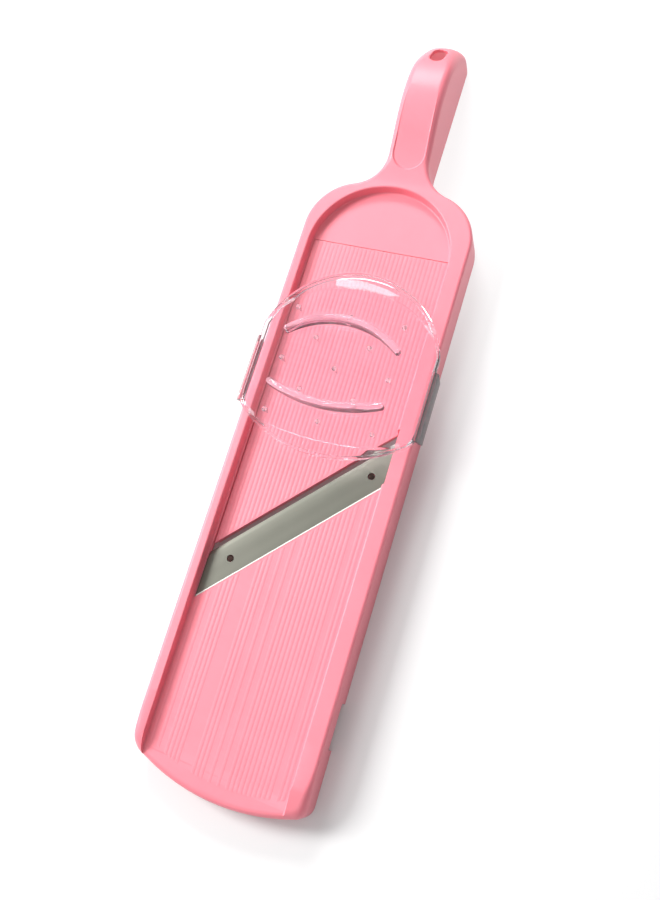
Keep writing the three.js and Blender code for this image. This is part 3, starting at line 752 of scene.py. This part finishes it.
class Finish:
    # the nodes of one material, or of the world
    def __init__(self, owner, place="Object"):
        self.owner = owner
        owner.use_nodes = True
        self.tree = owner.node_tree
        self.tree.nodes.clear()
        self.place = self.add("ShaderNodeTexCoord", {}, {}, place)

    def add(self, kind, settings, values, output=0):
        node = self.tree.nodes.new(kind)
        for name, setting in settings.items():
            if name == "stops":
                for element, (position, colour) in zip(node.color_ramp.elements, setting):
                    element.position = position
                    element.color = colour
            else:
                setattr(node, name, setting)
        for name, value in values.items():
            if isinstance(value, Value):
                self.tree.links.new(value.socket, node.inputs[name])
            else:
                node.inputs[name].default_value = value
        return Value(self, node.outputs[output]) if node.outputs else None

    def noise(self, scale, detail=3, place=None):
        return self.add("ShaderNodeTexNoise", {}, {"Vector": place or self.place, "Scale": scale, "Detail": detail})

    def blend(self, share, first, second):
        # a colour between two colours
        return self.add("ShaderNodeMix", {"data_type": "RGBA"}, {0: share, 6: first, 7: second}, 2)

    def ramp(self, value, low, high):
        stops = [(low, (0, 0, 0, 1)), (high, (1, 1, 1, 1))]
        return self.add("ShaderNodeValToRGB", {"stops": stops}, {"Fac": value})

    def bump(self, height, strength, distance):
        return self.add("ShaderNodeBump", {}, {"Height": height, "Strength": strength, "Distance": distance})

    def surface(self, values):
        shader = self.add("ShaderNodeBsdfPrincipled", {}, values)
        self.add("ShaderNodeOutputMaterial", {}, {"Surface": shader})
        return self.owner


def colour(red, green, blue):
    # from the usual 0 to 255 screen scale to the light scale that shaders use
    scale = [c / 255 for c in (red, green, blue)]
    return tuple(c / 12.92 if c <= 0.04045 else ((c + 0.055) / 1.055) ** 2.4 for c in scale) + (1,)


def pinkPlastic():
    # satin moulded plastic: faint cloudy colour, flow streaks along the board, very fine grain
    finish = Finish(bpy.data.materials.new("pink_satin_plastic"))
    cloud = finish.noise(38, 2)
    streakPlace = finish.add("ShaderNodeMapping", {}, {"Vector": finish.place, "Scale": (1, 0.12, 1)})
    streak = finish.noise(160, 3, streakPlace)
    grain = finish.noise(5200, 2)
    shade = cloud * 0.8 + streak * 0.2
    base = finish.blend(shade, colour(*pinkTones["deep"]), colour(*pinkTones["light"]))
    return finish.surface({
        "Base Color": base, "Roughness": 0.33 + shade * 0.1 + grain * 0.05,
        "Subsurface Weight": 0.12, "Subsurface Radius": (1.0, 0.35, 0.4), "Subsurface Scale": 0.0012,
        "Normal": finish.bump(grain, 0.06, 0.00005)})


def bladeSteel():
    # ground strip steel: fine scratches along the blade, a few longer ones, faint clouding
    finish = Finish(bpy.data.materials.new("ground_blade_steel"))
    turn = (0, 0, math.radians(bladeSizes["angle"]))
    along = finish.add("ShaderNodeMapping", {"vector_type": "TEXTURE"},
                       {"Vector": finish.place, "Rotation": turn, "Scale": (30, 0.4, 1)})
    fine = finish.noise(60, 4, along)
    across = finish.add("ShaderNodeMapping", {"vector_type": "TEXTURE"},
                        {"Vector": finish.place, "Rotation": turn, "Scale": (12, 0.4, 1)})
    longer = finish.ramp(finish.noise(35, 2, across), 0.42, 0.62)
    cloud = finish.noise(90, 3)
    share = fine * 0.5 + longer * 0.2 + cloud * 0.3
    base = finish.blend(share, colour(*steelTones["dark"]), colour(*steelTones["light"]))
    return finish.surface({
        "Base Color": base, "Metallic": 1, "Roughness": 0.4 + fine * 0.12 + cloud * 0.06,
        "Normal": finish.bump(fine, 0.12, 0.00004)})


def platedSteel(name, dark, light, roughness, metallic=1):
    # turned or drawn small parts: fine rings of wear and a mottled plating
    finish = Finish(bpy.data.materials.new(name))
    mottle = finish.noise(900, 3)
    fine = finish.noise(4000, 2)
    base = finish.blend(mottle, colour(*dark), colour(*light))
    return finish.surface({"Base Color": base, "Metallic": metallic, "Roughness": roughness + mottle * 0.12,
                           "Normal": finish.bump(fine, 0.1, 0.00003)})


def whitePlastic():
    # matt white moulded plastic
    finish = Finish(bpy.data.materials.new("matt_white_plastic"))
    cloud = finish.noise(70, 2)
    grain = finish.noise(3600, 2)
    base = finish.blend(cloud, colour(228, 223, 220), colour(242, 239, 236))
    return finish.surface({"Base Color": base, "Roughness": 0.42 + grain * 0.12,
                           "Normal": finish.bump(grain, 0.12, 0.00005)})


def clearPlastic(name, first, second, share, roughness):
    # polished plastic with a slight flow ripple and light rubbing, which lets most lamp light through
    finish = Finish(bpy.data.materials.new(name))
    ripple = finish.noise(70, 1)
    rub = finish.ramp(finish.noise(220, 4), 0.5, 0.75)
    shader = finish.add("ShaderNodeBsdfPrincipled", {}, {
        "Base Color": finish.blend(rub, colour(*first), colour(*second)), "Transmission Weight": share,
        "IOR": 1.49, "Roughness": roughness + rub * 0.05, "Normal": finish.bump(ripple, 0.04, 0.0004)})
    passing = finish.add("ShaderNodeBsdfTransparent", {}, {"Color": (0.96, 0.94, 0.95, 1)})
    lampLight = finish.add("ShaderNodeLightPath", {}, {}, "Is Shadow Ray")
    softLight = finish.add("ShaderNodeLightPath", {}, {}, "Is Diffuse Ray")
    whole = finish.add("ShaderNodeMixShader", {}, {0: (lampLight + softLight) * 0.95, 1: shader, 2: passing})
    finish.add("ShaderNodeOutputMaterial", {}, {"Surface": whole})
    return finish.owner


def tableFinish():
    # white top with painted light: towards the handle it glows by itself, which washes out shadows there; towards the
    # slicer's lower end it mostly reflects, so shadows there stay grey
    finish = Finish(bpy.data.materials.new("pale_table_painted_glow"))
    cloud = finish.noise(3, 2)
    along = finish.add("ShaderNodeSeparateXYZ", {}, {"Vector": finish.place}, "Y")
    # painted glow: share of the table's own emission, none near the lower end and full under the handle
    paintedGlowShare = finish.ramp(along + 0.5, 0.47, 0.6)
    grey = lambda value: (value, value, value, 1)
    return finish.surface({
        "Base Color": finish.blend(paintedGlowShare, grey(0.76), grey(0.2)), "Roughness": 0.75 + cloud * 0.1,
        "Emission Color": finish.blend(paintedGlowShare, grey(0.06), grey(0.85)), "Emission Strength": 1.0})


def studioLight():
    # a wide soft dome, bright from the upper left and dim on the right
    sky = Finish(bpy.data.worlds.new("studio"), "Generated")
    facing = sky.add("ShaderNodeVectorMath", {"operation": "DOT_PRODUCT"}, {0: sky.place, 1: (-0.5, 0.15, 0.85)}, 1)
    tone = sky.blend(sky.ramp(facing, 0.0, 1.0), (0.1, 0.1, 0.105, 1), (0.75, 0.75, 0.75, 1))
    dome = sky.add("ShaderNodeBackground", {}, {"Color": tone, "Strength": 1.0})
    sky.add("ShaderNodeOutputWorld", {}, {"Surface": dome})
    return sky.owner


pinkTones = {"deep": (246, 133, 147), "light": (250, 142, 156)}
steelTones = {"dark": (103, 103, 95), "light": (123, 123, 114)}

pink = pinkPlastic()
steel = bladeSteel()
darkSteel = platedSteel("dark_pin_steel", (44, 32, 30), (66, 52, 48), 0.35)
zinc = platedSteel("zinc_plated_steel", (176, 178, 182), (204, 206, 209), 0.24)
white = whitePlastic()
clear = clearPlastic("clear_polished_plastic", (252, 248, 252), (248, 244, 249), 1.0, 0.015)
# painted highlight: the same clear plastic, a little milky white, for the guard's rims
paintedEdgeHighlight = clearPlastic("clear_plastic_painted_edge_highlight", (244, 239, 247), (236, 230, 241), 0.97, 0.03)
# painted highlight: the same clear plastic, whiter and violet, for the finger ridges
paintedRidgeHighlight = clearPlastic("clear_plastic_painted_ridge_highlight", (238, 232, 245), (226, 218, 236), 0.84, 0.05)
# painted shade: the same clear plastic, dark grey and less clear, for the dark reflection along the guard's sides and
# clips
paintedDarkSide = clearPlastic("clear_plastic_painted_dark_side", (104, 100, 102), (84, 80, 84), 0.4, 0.08)
# painted glints: the same clear plastic, milky white, on the spike tips
paintedTipGlints = clearPlastic("clear_plastic_painted_tip_glints", (250, 244, 248), (240, 232, 238), 0.75, 0.2)
# painted highlight: near white steel for a strip along the blade's lower edge, standing in for the light its chamfer
# reflects
paintedBladeHighlight = platedSteel("blade_edge_painted_highlight", (240, 238, 232), (252, 250, 244), 0.3, 0.15)

handOver(makeFrame(), "frame", "frame", pink)
print("frame done")
handOver(makeInfeedPlate(), "infeed_plate", "infeed", pink)
print("infeed plate done")
guard = makeGuard()
handOver(guard, "hand_guard", "guard", clear)
flangeTop = guardSizes["foot"] * mm
palmY = at(0, guardSizes["middle"][1], 0).y
onSpike = lambda face: (abs(face.center.x) < 0.04 and abs(face.center.y - palmY) < 0.032
                        and face.center.z < (guardSizes["under"] - 0.3) * mm)
# the guard is one clear moulding; these finishes paint light and shade onto it: highlights on rims and ridges, dark
# shade on sides and clips, glints on spike tips
paint(guard, paintedEdgeHighlight, lambda face: abs(face.normal.z) < 0.85 and face.center.z > flangeTop)
paint(guard, paintedRidgeHighlight, lambda face: face.center.z > (guardSizes["palm"] + 0.3) * mm)
paint(guard, paintedDarkSide, lambda face: abs(face.center.x) > 0.0452 and abs(face.normal.z) < 0.9)
paint(guard, paintedTipGlints, onSpike)
print("hand guard done")

smallParts = {
    "blade": ("frame", "blade_steel", steel, 0.12), "blade_screw_left": ("frame", "dark_steel", darkSteel, 0.2),
    "blade_screw_right": ("frame", "dark_steel", darkSteel, 0.2), "bridge": ("frame", "white_plastic", white, 0.35),
    "bridge_screw_1": ("frame", "zinc_steel", zinc, 0.2), "bridge_screw_2": ("frame", "zinc_steel", zinc, 0.2),
    "bridge_screw_3": ("frame", "zinc_steel", zinc, 0.2), "bridge_screw_4": ("frame", "zinc_steel", zinc, 0.2),
    "hinge_rod": ("frame", "zinc_steel", zinc, 0.25), "rod_clip_left": ("frame", "zinc_steel", zinc, 0.12),
    "rod_clip_right": ("frame", "zinc_steel", zinc, 0.12), "dial_knob": ("dial", "white_plastic", white, 0.35),
    "cam_disc": ("dial", "white_plastic", white, 0.12), "dial_washer": ("dial", "zinc_steel", zinc, 0.12),
    "dial_screw": ("dial", "zinc_steel", zinc, 0.2), "follower_pin": ("infeed", "zinc_steel", zinc, 0.12),
    "detent_ball": ("frame", "zinc_steel", zinc, 0), "detent_spring": ("frame", "zinc_steel", zinc, 0),
}
for node, (body, slot, finish, width) in smallParts.items():
    if width:
        piece = brokenEdges(node, node + "_finished", width)
        handOver(piece, node, body, finish)
        if node == "blade":
            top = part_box("blade")[1].z / mm
            # thin strip along the blade's lower edge that carries the painted highlight
            band = diagonalBand(bladeSizes["left"] + 0.2, bladeSizes["right"] - 0.2, -bladeEdge, -bladeEdge + 0.55)
            lip = prism("blade_painted_highlight_strip", band, top - 0.6, top + 0.04)
            lip.data.materials.append(paintedBladeHighlight)
            gather([piece, lip])
    else:
        part = frame["nodes"][node]
        part.data.materials.clear()
        part.data.materials.append(finish)
print("small parts done")

# ---- camera, table and light ----

view = {"spot": (135.5, 72.6, 466.2), "turn": (17.34, 13.56, 17.95), "lens": 38.8, "shift": (0.034, -0.017)}
bpy.ops.object.camera_add(location=at(*view["spot"]), rotation=[math.radians(a) for a in view["turn"]])
camera = bpy.context.object
camera.data.sensor_width = 36
camera.data.lens = view["lens"]
camera.data.shift_x, camera.data.shift_y = view["shift"]
camera.data.clip_start = 0.01
bpy.context.scene.camera = camera

bpy.ops.object.select_all(action="DESELECT")
bpy.ops.mesh.primitive_plane_add(size=6)
table = named(bpy.context.object, "table_top")
table.data.materials.append(tableFinish())


def softbox(name, spot, aim, size, energy, tint=(1, 1, 1)):
    bpy.ops.object.light_add(type="AREA", location=spot)
    lamp = bpy.context.object
    lamp.name = name
    lamp.data.shape = "RECTANGLE"
    lamp.data.size, lamp.data.size_y = size
    lamp.data.energy = energy
    lamp.data.color = tint
    lamp.rotation_euler = (Vector(aim) - lamp.location).to_track_quat("-Z", "Y").to_euler()
    return lamp


softbox("key", (-0.95, 0.05, 0.85), (0, 0, 0), (0.45, 0.45), 17)
softbox("back", (-0.35, 1.0, 0.8), (0, 0, 0), (0.4, 0.3), 9)
softbox("front_strip", (0.1, -1.1, 0.75), (0, -0.1, 0), (0.6, 0.03), 1.0)
softbox("right_strip", (1.0, 0.0, 0.6), (0, 0, 0), (0.6, 0.03), 0.7)

bpy.context.scene.world = studioLight()
bpy.context.scene.view_settings.view_transform = "Standard"
